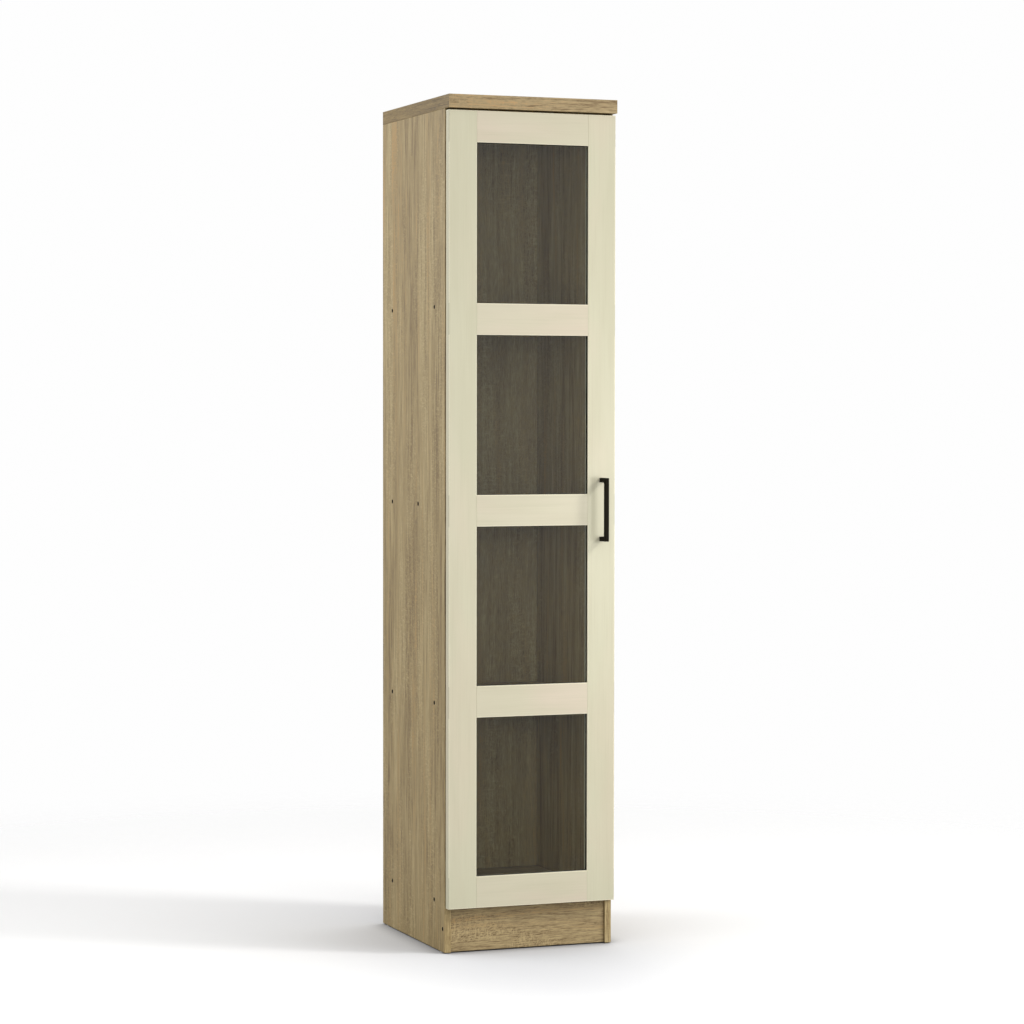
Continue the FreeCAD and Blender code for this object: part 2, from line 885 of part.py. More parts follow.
def glazing(count):
    """A pane and its gasket; panes count down from the top, as one reads the door."""
    low = f"door_low + rail_height + {WINDOWS - count} * window_pitch"
    high = f"{low} + window_height"
    right_edge = "window_left + window_width"

    def grown(by):
        across = (f"window_left - ({by})", f"{right_edge} + ({by})")
        return across, (f"{low} - ({by})", f"{high} + ({by})")

    def layer(name, by, half_thickness):
        x, z = grown(by)
        middle = "door_front + groove_middle"
        y = (f"{middle} - ({half_thickness})", f"{middle} + ({half_thickness})")
        return block(name, x, y, z)

    half_channel = "groove_width / 2 - glazing_clearance"
    pane = layer(f"pane_{count}", "glass_edge", "glass_thickness / 2")
    gasket = cut(
        f"gasket_{count}",
        layer(f"gasket_blank_{count}", "groove_floor", half_channel),
        layer(f"gasket_window_{count}", "-gasket_sight", "groove_width"),
        layer(f"gasket_channel_{count}", "glass_edge", "glass_thickness / 2"),
    )
    keep(pane, f"glass_pane_{count}")
    keep(gasket, f"glass_gasket_{count}")


for count in range(1, WINDOWS + 1):
    glazing(count)

# Handle: a square bar bent back to a foot at each end, and its two screws through the stile

handle = body("handle_body")
handle_outline = [
    ("0", "0"),
    ("-handle_projection", "0"),
    ("-handle_projection", "handle_length"),
    ("0", "handle_length"),
    ("0", "handle_length - handle_foot"),
    ("-(handle_grip_depth)", "handle_length - handle_foot"),
    ("-(handle_grip_depth)", "handle_foot"),
    ("0", "handle_foot"),
]
handle_side = outline(handle, "handle_side", "side", handle_outline)
pad(handle, "handle_pad", handle_side, "handle_width", both_ways=True)
ease(
    handle,
    "Fillet",
    "handle_inner_bends",
    "handle_inner_radius",
    lambda edge: runs(edge, "x", y="-(handle_grip_depth)"),
)
ease(
    handle,
    "Fillet",
    "handle_outer_bends",
    "handle_outer_radius",
    lambda edge: runs(edge, "x", y="-handle_projection"),
)


def on_grip_front(edge):
    """The long arrises of the grip's outer face and their bends."""
    box = edge.BoundBox
    on_side = near(abs(box.Center.x), number("handle_width / 2")) and near(box.XLength, 0)
    return on_side and box.YMax < -number("handle_grip_depth")


ease(handle, "Chamfer", "handle_arrises", "handle_chamfer", on_grip_front)
foot_middles = ["handle_foot / 2", "handle_length - handle_foot / 2"]
for count, height in enumerate(foot_middles, start=1):
    drill(
        handle,
        f"handle_thread_{count}",
        SHANK_SIDES,
        "handle_screw_radius",
        "handle_screw_bite + overrun",
        ("0", "overrun", height),
        "front",
    )
put(handle, "handle_x", "door_front", "handle_low")
keep(handle, "handle")

handle_screw = headed(
    "handle_screw",
    "handle_head_radius",
    "handle_head_height",
    "handle_screw_radius",
    "(door_thickness + handle_screw_bite)",
)
handle_screw_spots = [
    ("handle_x", "door_back + handle_head_height", f"handle_low + {height}") for height in foot_middles
]
keep(copies("handle_screws", handle_screw, handle_screw_spots, "front"), "handle_screws")

# Hinge cup, about its pin: X along the door, Y to the door's back

cup_foot = ("cup_middle", "cup_back", "0")
cup_barrel = rod("cup_barrel", CUP_SIDES, "cup_radius", "cup_depth", cup_foot, "back")
flange_disc = rod(
    "flange_disc",
    CUP_SIDES,
    "cup_radius + flange_margin",
    "flange_thickness",
    ("cup_middle", "pin_sink", "0"),
    "back",
)
ear_x = "cup_middle + ear_offset"
ear_bar = block(
    "ear_bar",
    (f"{ear_x} - ear_width / 2", f"{ear_x} + ear_width / 2"),
    ("pin_sink", "pin_sink + flange_thickness"),
    ("-ear_spacing / 2", "ear_spacing / 2"),
)
ear_places = [(ear_x, "pin_sink", "-ear_spacing / 2"), (ear_x, "pin_sink", "ear_spacing / 2")]
ear_ends = [
    rod(f"ear_end_{n}", DISC_SIDES, "ear_width / 2", "flange_thickness", place, "back")
    for n, place in enumerate(ear_places, start=1)
]
ear_holes = [
    rod(
        f"ear_hole_{n}",
        SHANK_SIDES,
        "wood_screw_radius + screw_clearance",
        "flange_thickness + overrun",
        place,
        "back",
    )
    for n, place in enumerate(ear_places, start=1)
]
cup_cavity = doc.addObject("Part::Common", "cup_cavity")
cup_cavity.Base = rod(
    "cup_inside",
    CUP_SIDES,
    "cup_radius - cup_wall",
    "cup_depth - cup_floor + flange_thickness + overrun",
    ("cup_middle", "cup_back + cup_floor", "0"),
    "back",
)
cup_cavity.Tool = block(
    "cup_slab",
    ("-cup_radius", "cup_middle + cup_radius"),
    ("cup_back", "pin_sink + flange_thickness + 2 * overrun"),
    ("-cup_slot / 2", "cup_slot / 2"),
)
pin_bore = rod(
    "pin_bore",
    PIN_SIDES,
    "pin_radius + pin_clearance",
    "pin_length + 2 * pin_clearance",
    ("0", "0", "-pin_length / 2 - pin_clearance"),
)
cup = cut(
    "cup",
    fuse("cup_blank", cup_barrel, flange_disc, ear_bar, *ear_ends),
    cup_cavity,
    pin_bore,
    *ear_holes,
)

# Hinge arm, about the same pin: an eye, a hook round the panel's edge and a channel on the plate

arm = body("arm")
hook_profile = [
    ("0", "hook_low"),
    ("web_high", "hook_low"),
    ("web_high", "carcass_line + arm_end"),
    ("web_low", "carcass_line + arm_end"),
    ("web_low", "hook_high"),
    ("eye_radius", "hook_high"),
    ("eye_radius", "0"),
    ("0", "0"),
]
hook_drawing = outline(arm, "hook_profile", "plan", hook_profile)
pad(arm, "hook", hook_drawing, "hook_width", both_ways=True)
ease(
    arm,
    "Fillet",
    "hook_outer_bend",
    "hook_bend",
    lambda edge: runs(edge, "z", x="web_high", y="hook_low"),
)
boss(arm, "eye", PIN_SIDES, "eye_radius", "hook_width", ("0", "0", "-hook_width / 2"), "up")
web_start = "carcass_line + arm_start"
web_end = "carcass_line + arm_end"
web_drawing = outline(
    arm,
    "web_outline",
    "plan",
    [("web_low", web_start), ("web_high", web_start), ("web_high", web_end), ("web_low", web_end)],
)
pad(arm, "web", web_drawing, "arm_width", both_ways=True)
for side, lift in (("lower", "-arm_width / 2"), ("upper", "arm_width / 2 - cheek_thickness")):
    cheek_drawing = outline(
        arm,
        f"cheek_{side}_outline",
        "plan",
        [
            ("web_low - cheek_height", f"{web_start} + cheek_height"),
            ("web_high", web_start),
            ("web_high", web_end),
            ("web_low - cheek_height", web_end),
        ],
        lift=lift,
    )
    pad(arm, f"cheek_{side}", cheek_drawing, "cheek_thickness")
eye_foot = ("0", "0", "-hook_width / 2 - overrun")
drill(arm, "eye_hole", PIN_SIDES, "pin_radius", "hook_width + 2 * overrun", eye_foot, "up")
arm_lines = ["carcass_line + arm_screw_line", "carcass_line + adjuster_line"]
for count, line in enumerate(arm_lines, start=1):
    drill(
        arm,
        f"arm_hole_{count}",
        SHANK_SIDES,
        "arm_screw_radius + screw_clearance",
        "hook_thickness + 2 * overrun",
        ("web_high + overrun", line, "0"),
        "left",
    )

# Mounting plate on the side panel: two wings and the rail that the arm slides on

wing = block(
    "wing_bar",
    ("side_face", "side_face + wing_thickness"),
    ("carcass_line + plate_line - wing_width / 2", "carcass_line + plate_line + wing_width / 2"),
    ("(wing_width - wing_length) / 2", "(wing_length - wing_width) / 2"),
)
wing_end_places = [
    ("side_face", "carcass_line + plate_line", f"{sign}(wing_length - wing_width) / 2")
    for sign in ("-", "")
]
wing_ends = [
    rod(f"wing_end_{n}", DISC_SIDES, "wing_width / 2", "wing_thickness", place, "right")
    for n, place in enumerate(wing_end_places, start=1)
]
plate_rail = block(
    "plate_rail",
    ("side_face", "web_low"),
    ("carcass_line + arm_start + cheek_height", "carcass_line + arm_end"),
    ("-rail_width / 2", "rail_width / 2"),
)
wing_screw_places = [
    ("side_face", "carcass_line + plate_line", f"{sign}plate_screw_spacing / 2") for sign in ("-", "")
]
wing_holes = [
    rod(
        f"wing_hole_{n}",
        SHANK_SIDES,
        "wood_screw_radius + screw_clearance",
        "wing_thickness + overrun",
        place,
        "right",
    )
    for n, place in enumerate(wing_screw_places, start=1)
]
arm_screw_bite = "web_low - side_face - screw_clearance"
rail_threads = [
    rod(
        f"rail_thread_{n}",
        SHANK_SIDES,
        "arm_screw_radius",
        arm_screw_bite,
        ("web_low", line, "0"),
        "left",
    )
    for n, line in enumerate(arm_lines, start=1)
]
plate_blank = fuse("plate_blank", wing, *wing_ends, plate_rail)
plate = cut("plate", plate_blank, *wing_holes, *rail_threads)

# The hinges, lowest first: cups turn with the door, the rest stays with the side panel

arm_screw = headed(
    "arm_screw",
    "arm_head_radius",
    "arm_head_height",
    "arm_screw_radius",
    f"(hook_thickness + {arm_screw_bite})",
)
pin = rod("pin", PIN_SIDES, "pin_radius", "pin_length")
hinge_spots = [("pin_x", "pin_y", f"door_low + {height}") for height in hinge_heights]


def at_each_hinge(places):
    """Places about a pin, repeated at every hinge."""
    spots = []
    for pin_place in hinge_spots:
        for place in places:
            spots.append(tuple(f"{whole} + {part}" for whole, part in zip(pin_place, place, strict=True)))
    return spots


for count, spot in enumerate(hinge_spots, start=1):
    keep(copies(f"cup_{count}", cup, [spot]), f"hinge_cup_{count}")
    keep(copies(f"arm_{count}", arm, [spot]), f"hinge_arm_{count}")
    keep(copies(f"plate_{count}", plate, [spot]), f"hinge_plate_{count}")
pin_spots = at_each_hinge([("0", "0", "(-pin_length / 2)")])
keep(copies("hinge_pins", pin, pin_spots), "hinge_pins")
cup_screw_spots = at_each_hinge(
    [(x, f"({y} + flange_thickness + wood_head_height)", f"({z})") for x, y, z in ear_places]
)
keep(copies("cup_screws", wood_screw, cup_screw_spots, "front"), "cup_screws")
plate_screw_spots = at_each_hinge(
    [(f"({x} + wing_thickness + wood_head_height)", y, f"({z})") for x, y, z in wing_screw_places]
)
keep(copies("plate_screws", wood_screw, plate_screw_spots, "left"), "plate_screws")
arm_screw_spots = at_each_hinge([("(web_high + arm_head_height)", line, "0") for line in arm_lines])
keep(copies("arm_screws", arm_screw, arm_screw_spots, "left"), "arm_screws")

# Soft bumpers on the right side's front edge

bumper = rod("bumper", HEAD_SIDES, "bumper_radius", "bumper_thickness")
bumper_spots = [
    ("-(board_middle)", "front", "door_low + bumper_end_distance"),
    ("-(board_middle)", "front", "door_high - bumper_end_distance"),
]
keep(copies("door_bumpers", bumper, bumper_spots, "front"), "door_bumpers")

# Check every object, then write one file for each sub-part

doc.recompute()
for each in doc.Objects:
    faults = [state for state in each.State if state in ("Invalid", "Error")]
    if faults:
        raise ValueError(f"{each.Name} is {faults}")
for piece in nodes:
    if piece.Shape.isNull() or not piece.Shape.isValid() or not piece.Shape.Solids:
        raise ValueError(f"{piece.Label} has no valid solid")
os.makedirs("parts", exist_ok=True)
for piece in nodes:
    piece.Shape.exportStep(f"parts/{piece.Label}.step")
    print(f"{piece.Label}: {len(piece.Shape.Solids)} solids, {piece.Shape.Volume / 1000:.1f} cm3")
print(f"{len(nodes)} sub-parts")
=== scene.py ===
# %% [markdown]
# # A tall utility cabinet
# The real thing is a narrow cabinet of oak-print boards with one door: a cream frame that holds
# four smoked panes. Its CAD model is packed as a frame of named nodes, so every board, pane and
# screw is already in place. What this lesson adds is everything that makes them look real: soft
# edges, printed oak, foil, glass, rubber and metal, then a floor, lamps and a camera.

# %% Load the frame
import math

import bpy
from mathutils import Matrix, Vector


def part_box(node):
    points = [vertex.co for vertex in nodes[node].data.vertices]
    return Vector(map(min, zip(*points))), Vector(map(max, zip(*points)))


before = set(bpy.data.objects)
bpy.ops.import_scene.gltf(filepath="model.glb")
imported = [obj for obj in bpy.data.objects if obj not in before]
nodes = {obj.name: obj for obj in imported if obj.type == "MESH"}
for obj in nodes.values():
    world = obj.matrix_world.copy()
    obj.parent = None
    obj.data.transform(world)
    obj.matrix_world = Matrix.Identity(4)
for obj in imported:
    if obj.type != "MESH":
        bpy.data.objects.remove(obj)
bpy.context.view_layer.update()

# %% [markdown]
# Colours are easiest to judge as the numbers that a paint program shows, 0 to 255. Blender's
# shaders want light itself, which grows much faster than those numbers do. One small function
# turns the first into the second, so that the rest of the lesson can speak of colours plainly.


# %% Colours as a paint program names them
def paint(red, green, blue):
    """An RGBA colour for a shader from 0-255 screen values."""

    def light(value):
        part = value / 255
        return part / 12.92 if part <= 0.04045 else ((part + 0.055) / 1.055) ** 2.4

    return light(red), light(green), light(blue), 1.0


print("mid grey is", round(paint(128, 128, 128)[0], 3), "as light")

# %% [markdown]
# A material is a tree of nodes joined by wires. Writing one out takes many lines, so two helpers
# come first. `place` makes one node and fills its inputs, with a number or with a wire from
# another node. `effect` starts a node group: a box of nodes with named inputs and outputs that
# several materials can share, each with values of its own.


# %% Helpers for node trees
def place(tree, kind, settings=None, **inputs):
    """Add a node; an input is named with _ for a space, or by its number as _0, _1 and so on."""
    made = tree.nodes.new(f"ShaderNode{kind}")
    for name, value in (settings or {}).items():
        setattr(made, name, value)
    for name, value in inputs.items():
        key = int(name[1:]) if name[1:].isdigit() else name.replace("_", " ")
        socket = made.inputs[key]
        if isinstance(value, bpy.types.NodeSocket):
            tree.links.new(value, socket)
        else:
            socket.default_value = value
    return made


def effect(name, inputs, outputs):
    """Start a node group; returns its tree, its input sockets by name and its output node."""
    tree = bpy.data.node_groups.new(name, "ShaderNodeTree")
    for label, (kind, value) in inputs.items():
        socket = tree.interface.new_socket(label, in_out="INPUT", socket_type=f"NodeSocket{kind}")
        if value is not None:
            socket.default_value = value
    for label, kind in outputs.items():
        tree.interface.new_socket(label, in_out="OUTPUT", socket_type=f"NodeSocket{kind}")
    return tree, tree.nodes.new("NodeGroupInput").outputs, tree.nodes.new("NodeGroupOutput")


def use(tree, group, **inputs):
    """Place a node group in a material."""
    return place(tree, "Group", {"node_tree": group}, **inputs)


def maths(tree, operation, first, second=0.0, third=0.0):
    """One sum on numbers or wires."""
    return place(tree, "Math", {"operation": operation}, _0=first, _1=second, _2=third).outputs[0]


def speckle(tree, vector, per_metre, detail=2.0, roughness=0.5):
    """Noise with so many spots in a metre along each of the three axes."""
    stretched = place(
        tree, "VectorMath", {"operation": "MULTIPLY"}, _0=vector, _1=per_metre
    ).outputs[0]
    return place(
        tree, "TexNoise", Vector=stretched, Scale=1.0, Detail=detail, Roughness=roughness
    ).outputs["Fac"]


def between(tree, value, low, high, to_low=0.0, to_high=1.0):
    """Stretch a range of values smoothly over another."""
    return place(
        tree,
        "MapRange",
        {"interpolation_type": "SMOOTHSTEP"},
        Value=value,
        From_Min=low,
        From_Max=high,
        To_Min=to_low,
        To_Max=to_high,
    ).outputs[0]


def blend_colours(tree, amount, first, second):
    """Mix two colours. A Mix node has inputs for numbers too, so the colour ones are picked."""
    mixed = tree.nodes.new("ShaderNodeMix")
    mixed.data_type = "RGBA"
    mixed.clamp_factor = True
    colour_inputs = [socket for socket in mixed.inputs if socket.type == "RGBA"]
    for socket, value in zip([mixed.inputs[0], *colour_inputs], (amount, first, second)):
        if isinstance(value, bpy.types.NodeSocket):
            tree.links.new(value, socket)
        else:
            socket.default_value = value
    return next(socket for socket in mixed.outputs if socket.type == "RGBA")


def nudge(tree, value, strength):
    """A vector that pushes a pattern aside by a value, so that its lines wander."""
    push = maths(tree, "MULTIPLY", value, strength)
    return place(tree, "CombineXYZ", X=push, Y=push, Z=push).outputs[0]


print("node helpers are ready")

# %% [markdown]
# The boards aren't oak: they are chipboard under a thin printed foil. The print has slow pale
# and dark bands, long streaks that wander a little, fine fibres, short dark pores and a few
# cracks. In patches it copies a rough-sawn board: a pale crackle, and short saw marks that cross
# the grain. Each is noise stretched a different amount: the first two numbers of a layer say how
# often it repeats in a metre across the grain, and the next how often along it. The group reads a
# vector whose Z runs along the grain, so one group serves upright sides and level shelves alike.
# Figure, Fibre, Fleck, Crackle and Pores say how much of each layer a board gets.


# %% Group: printed oak
MIDDLE_TONE = 0.52  # of a print with no layers, where 0 is darkest and 1 palest


def make_oak_print():
    tree, given, out = effect(
        "Oak print",
        {
            "Along": ("Vector", None),
            "Pale": ("Color", paint(192, 172, 125)),
            "Middle": ("Color", paint(166, 144, 99)),
            "Deep": ("Color", paint(126, 103, 63)),
            "Warm": ("Color", paint(184, 148, 92)),
            "Figure": ("Float", 1.0),
            "Fibre": ("Float", 1.0),
            "Fleck": ("Float", 1.0),
            "Crackle": ("Float", 1.0),
            "Pores": ("Float", 1.0),
        },
        {"Color": "Color", "Roughness": "Float", "Height": "Float"},
    )
    # the grain wanders up to 3 cm to one side or the other
    sway = speckle(tree, given["Along"], (3.0, 3.0, 1.7), detail=1.0)
    drift = place(
        tree, "CombineXYZ", X=maths(tree, "MULTIPLY_ADD", sway, 0.06, -0.03), Y=0.0, Z=0.0
    )
    along = place(
        tree, "VectorMath", {"operation": "ADD"}, _0=given["Along"], _1=drift.outputs[0]
    ).outputs[0]

    def layer(across, lengthwise, detail):
        """A noise layer stretched so that its usual range becomes -1 to 1."""
        noise = speckle(
            tree, along, (across, across, lengthwise), detail=detail, roughness=0.66
        )
        return between(tree, noise, 0.32, 0.68, -1.0, 1.0)

    bands = layer(17.0, 0.9, 1.0)
    streaks = layer(95.0, 4.0, 4.0)
    fibres = layer(330.0, 12.0, 4.0)
    flecks = layer(430.0, 50.0, 3.0)
    pores = between(tree, speckle(tree, along, (1000.0, 1000.0, 75.0), detail=2.0), 0.54, 0.66)
    cracks = between(tree, speckle(tree, along, (190.0, 190.0, 3.0), detail=1.0), 0.665, 0.70)
    warmth = between(tree, speckle(tree, along, (31.0, 31.0, 1.0), detail=2.0), 0.50, 0.70)

    # where the print copies a rough-sawn board: veins between cells, and marks across the grain
    rough_sawn = between(tree, speckle(tree, along, (14.0, 14.0, 3.4), detail=4.0), 0.42, 0.60)
    wander = speckle(tree, along, (150.0, 150.0, 60.0), detail=3.0)
    stretched = place(
        tree, "VectorMath", {"operation": "MULTIPLY"}, _0=along, _1=(170.0, 170.0, 95.0)
    ).outputs[0]
    bent = place(
        tree, "VectorMath", {"operation": "ADD"}, _0=stretched, _1=nudge(tree, wander, 2.2)
    ).outputs[0]
    cells = place(
        tree, "TexVoronoi", {"feature": "DISTANCE_TO_EDGE"}, Vector=bent, Scale=1.0
    ).outputs["Distance"]
    veins = between(tree, cells, 0.02, 0.16, 1.0, 0.0)
    ticks = between(tree, speckle(tree, along, (60.0, 60.0, 260.0), detail=3.0), 0.54, 0.66)
    crackle = maths(tree, "MAXIMUM", maths(tree, "MULTIPLY", veins, 0.7), ticks)
    crackle = maths(tree, "MULTIPLY", crackle, rough_sawn)
    crackle = maths(tree, "MULTIPLY", crackle, given["Crackle"])

    def add_layer(tone, part, share, strength):
        """Add a layer to the tone, as strong as the material asks for by its share."""
        amount = maths(tree, "MULTIPLY", given[share], strength)
        return maths(tree, "MULTIPLY_ADD", part, amount, tone)

    tone = add_layer(MIDDLE_TONE, bands, "Figure", 0.12)
    tone = add_layer(tone, streaks, "Figure", 0.24)
    tone = add_layer(tone, fibres, "Fibre", 0.26)
    tone = add_layer(tone, flecks, "Fleck", 0.20)
    tone = add_layer(tone, rough_sawn, "Crackle", -0.16)
    tone = maths(tree, "MULTIPLY_ADD", crackle, 0.60, tone)
    dark = maths(tree, "MAXIMUM", maths(tree, "MULTIPLY", pores, 0.35), cracks)
    tone = maths(tree, "MULTIPLY_ADD", maths(tree, "MULTIPLY", dark, given["Pores"]), -0.5, tone)

    # the tone picks the colour: Deep, Middle, then Pale or Warm
    low = blend_colours(tree, between(tree, tone, -0.05, 0.5), given["Deep"], given["Middle"])
    pale = blend_colours(tree, warmth, given["Pale"], given["Warm"])
    colour = blend_colours(tree, between(tree, tone, 0.45, 1.0), low, pale)
    rough = maths(tree, "MULTIPLY_ADD", flecks, 0.05, 0.50)
    height = maths(tree, "MULTIPLY_ADD", dark, -1.0, maths(tree, "MULTIPLY", flecks, 0.4))
    height = maths(tree, "MULTIPLY_ADD", crackle, 0.5, height)
    tree.links.new(colour, out.inputs["Color"])
    tree.links.new(rough, out.inputs["Roughness"])
    tree.links.new(height, out.inputs["Height"])
    return tree


oak_print = make_oak_print()
print("oak print group has", len(oak_print.nodes), "nodes")

# %% [markdown]
# Where the foil stops, the core shows: pressed wood chips, pale and grainy. It is seen at the
# rear edges, under the sides and inside the screw holes, the places that no band covers.


# %% Group: chipboard core
CORE_DUST = (2600.0, 2600.0, 2600.0)  # grains in a metre


def make_chip_core():
    tree, given, out = effect(
        "Chipboard core",
        {"Point": ("Vector", None), "Chip size": ("Float", 0.003)},
        {"Color": "Color", "Height": "Float"},
    )
    per_metre = maths(tree, "DIVIDE", 1.0, given["Chip size"])
    chips = place(tree, "TexVoronoi", Vector=given["Point"], Scale=per_metre, Randomness=1.0)
    shade = place(tree, "SeparateColor", Color=chips.outputs["Color"]).outputs[0]
    dust = speckle(tree, given["Point"], CORE_DUST, detail=2.0)
    tone = maths(tree, "MULTIPLY_ADD", dust, 0.35, maths(tree, "MULTIPLY", shade, 0.65))
    colour = blend_colours(tree, tone, paint(134, 104, 70), paint(201, 176, 136))
    tree.links.new(colour, out.inputs["Color"])
    tree.links.new(chips.outputs["Distance"], out.inputs["Height"])
    return tree


chip_core = make_chip_core()
print("chipboard group has", len(chip_core.nodes), "nodes")

# %% [markdown]
# The door's frame is wrapped in cream foil with a faint wood emboss. From a step away it reads
# as one colour, but the eye notices if it is missing: slow, warm and cool drifts, and fine lines
# along each bar that catch the light.


# %% Group: cream foil
def make_cream_foil():
    tree, given, out = effect(
        "Cream foil",
        {
            "Along": ("Vector", None),
            "Cream": ("Color", paint(218, 214, 186)),
            "Blush": ("Color", paint(225, 212, 190)),
            "Shade": ("Color", paint(202, 196, 166)),
            "Emboss": ("Float", 1.0),
        },
        {"Color": "Color", "Roughness": "Float", "Height": "Float"},
    )
    along = given["Along"]
    drift = between(tree, speckle(tree, along, (7.0, 7.0, 2.5), detail=2.0), 0.42, 0.66)
    clouds = between(tree, speckle(tree, along, (30.0, 30.0, 4.0), detail=3.0), 0.30, 0.75)
    lines = speckle(tree, along, (340.0, 340.0, 6.0), detail=3.0, roughness=0.6)
    fleck = speckle(tree, along, (1500.0, 1500.0, 60.0), detail=1.0)
    base = blend_colours(tree, drift, given["Cream"], given["Blush"])
    veil = maths(tree, "MULTIPLY", clouds, 0.28)
    line_veil = between(tree, lines, 0.45, 0.75, 0.0, 0.22)
    veil = maths(tree, "MULTIPLY_ADD", line_veil, given["Emboss"], veil)
    colour = blend_colours(tree, veil, base, given["Shade"])
    rough = maths(tree, "MULTIPLY_ADD", fleck, 0.10, 0.40)
    height = maths(tree, "MULTIPLY_ADD", fleck, 0.35, lines)
    height = maths(tree, "MULTIPLY", height, given["Emboss"])
    tree.links.new(colour, out.inputs["Color"])
    tree.links.new(rough, out.inputs["Roughness"])
    tree.links.new(height, out.inputs["Height"])
    return tree


cream_foil = make_cream_foil()
print("cream foil group has", len(cream_foil.nodes), "nodes")

# %% [markdown]
# Along the frame's edges a pale line a few millimetres wide is painted: a painted highlight.
# The Bevel node reports which way a face would look if its edges were round, so where that
# differs from the real face, an edge is near. The group turns the difference into two masks: one
# for every edge, one for edges that run level.


# %% Group: edge highlight mask
def make_edge_highlight():
    tree, given, out = effect(
        "Edge highlight", {"Radius": ("Float", 0.001)}, {"Any edge": "Float", "Level edge": "Float"}
    )
    rounded = place(tree, "Bevel", {"samples": 4}, Radius=given["Radius"]).outputs[0]
    actual = tree.nodes.new("ShaderNodeNewGeometry").outputs["Normal"]
    turn = place(tree, "VectorMath", {"operation": "SUBTRACT"}, _0=rounded, _1=actual).outputs[0]
    size = place(tree, "VectorMath", {"operation": "LENGTH"}, _0=turn).outputs["Value"]
    rise = maths(tree, "ABSOLUTE", place(tree, "SeparateXYZ", Vector=turn).outputs["Z"])
    tree.links.new(between(tree, size, 0.10, 0.40), out.inputs["Any edge"])
    tree.links.new(between(tree, rise, 0.07, 0.28), out.inputs["Level edge"])
    return tree


edge_highlight = make_edge_highlight()
print("edge highlight group has", len(edge_highlight.nodes), "nodes")

# %% [markdown]
# Where two pieces nearly touch, hardly any light gets in. The Ambient Occlusion node tells how
# open the space before a point is, within a short reach. The group paints shade: it darkens a
# colour where that space is closed, which helps to draw the dark line over the door.


# %% Group: painted gap shade
GAP_SHADE_TONE = paint(20, 13, 7)


def make_gap_shade():
    tree, given, out = effect(
        "Painted gap shade",
        {
            "Color": ("Color", paint(170, 148, 106)),
            "Reach": ("Float", 0.012),
            "Depth": ("Float", 0.8),
        },
        {"Color": "Color"},
    )
    space = place(tree, "AmbientOcclusion", {"samples": 4}, Distance=given["Reach"])
    closed = between(tree, space.outputs["AO"], 0.15, 0.60, 1.0, 0.0)
    shade = maths(tree, "MULTIPLY", closed, given["Depth"])
    gap_shaded = blend_colours(tree, shade, given["Color"], GAP_SHADE_TONE)
    tree.links.new(gap_shaded, out.inputs["Color"])
    return tree


gap_shade = make_gap_shade()
print("close gap group has", len(gap_shade.nodes), "nodes")

# %% [markdown]
# Paint, plated metal, rubber and plastic differ in colour and gloss, but share a fault that
# makes them look real: they are never quite even. One group gives all of them cloudy patches
# and fine grit, as strong as each material asks for.


# %% Group: uneven surface
def make_uneven():
    tree, given, out = effect(
        "Uneven surface",
        {
            "Point": ("Vector", None),
            "Light tone": ("Color", paint(200, 200, 200)),
            "Dark tone": ("Color", paint(160, 160, 160)),
            "Grit per metre": ("Float", 2500.0),
            "Rough from": ("Float", 0.3),
            "Rough to": ("Float", 0.5),
        },
        {"Color": "Color", "Roughness": "Float", "Height": "Float"},
    )
    clouds = place(tree, "TexNoise", Vector=given["Point"], Scale=60.0, Detail=3.0).outputs["Fac"]
    grit = place(
        tree, "TexNoise", Vector=given["Point"], Scale=given["Grit per metre"], Detail=2.0
    ).outputs["Fac"]
    tone = maths(tree, "MULTIPLY_ADD", grit, 0.4, maths(tree, "MULTIPLY", clouds, 0.6))
    tone = between(tree, tone, 0.30, 0.70)
    colour = blend_colours(tree, tone, given["Dark tone"], given["Light tone"])
    span = maths(tree, "SUBTRACT", given["Rough to"], given["Rough from"])
    rough = maths(tree, "MULTIPLY_ADD", tone, span, given["Rough from"])
    tree.links.new(colour, out.inputs["Color"])
    tree.links.new(rough, out.inputs["Roughness"])
    tree.links.new(grit, out.inputs["Height"])
    return tree


uneven = make_uneven()
print("uneven surface group has", len(uneven.nodes), "nodes")

# %% [markdown]
# Every material below starts in the same way: a new tree, the point on the piece that is being
# shaded, and one Principled shader at the end. A piece's own coordinates are used and not the
# room's, so the pattern stays put when the door swings. The relief is a Bump node, which needs a
# strength and a depth: real print and foil are embossed by about a tenth of a millimetre.


# %% Helpers that start and end a material
def start(name):
    """A material with an empty tree, and the wires of a piece's own coordinates."""
    material = bpy.data.materials.new(name)
    material.use_nodes = True
    material.node_tree.nodes.clear()
    coordinates = material.node_tree.nodes.new("ShaderNodeTexCoord").outputs
    return material, material.node_tree, coordinates["Object"], coordinates["Normal"]


def finish_material(tree, colour, roughness, height, bump, depth, **constants):
    """The Principled shader, its bump and the output; constants go on the shader's sockets."""
    shader = place(tree, "BsdfPrincipled", Base_Color=colour, Roughness=roughness, **constants)
    relief = place(tree, "Bump", Strength=bump, Distance=depth, Height=height)
    tree.links.new(relief.outputs[0], shader.inputs["Normal"])
    place(tree, "OutputMaterial", Surface=shader.outputs[0])


def grain_vector(tree, point, axis, seed, finer=1.0):
    """The piece's coordinates with Z turned along the grain, moved to another spot, and scaled."""
    parts = place(tree, "SeparateXYZ", Vector=point).outputs
    order = {"X": (2, 1, 0), "Y": (0, 2, 1), "Z": (0, 1, 2)}[axis]
    turned = place(tree, "CombineXYZ", X=parts[order[0]], Y=parts[order[1]], Z=parts[order[2]])
    moved = place(tree, "VectorMath", {"operation": "ADD"}, _0=turned.outputs[0], _1=seed)
    scaled = place(tree, "VectorMath", {"operation": "SCALE"}, _0=moved.outputs[0], Scale=finer)
    return scaled.outputs[0]


SQUARE_ON = 0.6  # a face looks along an axis if this much of its normal does


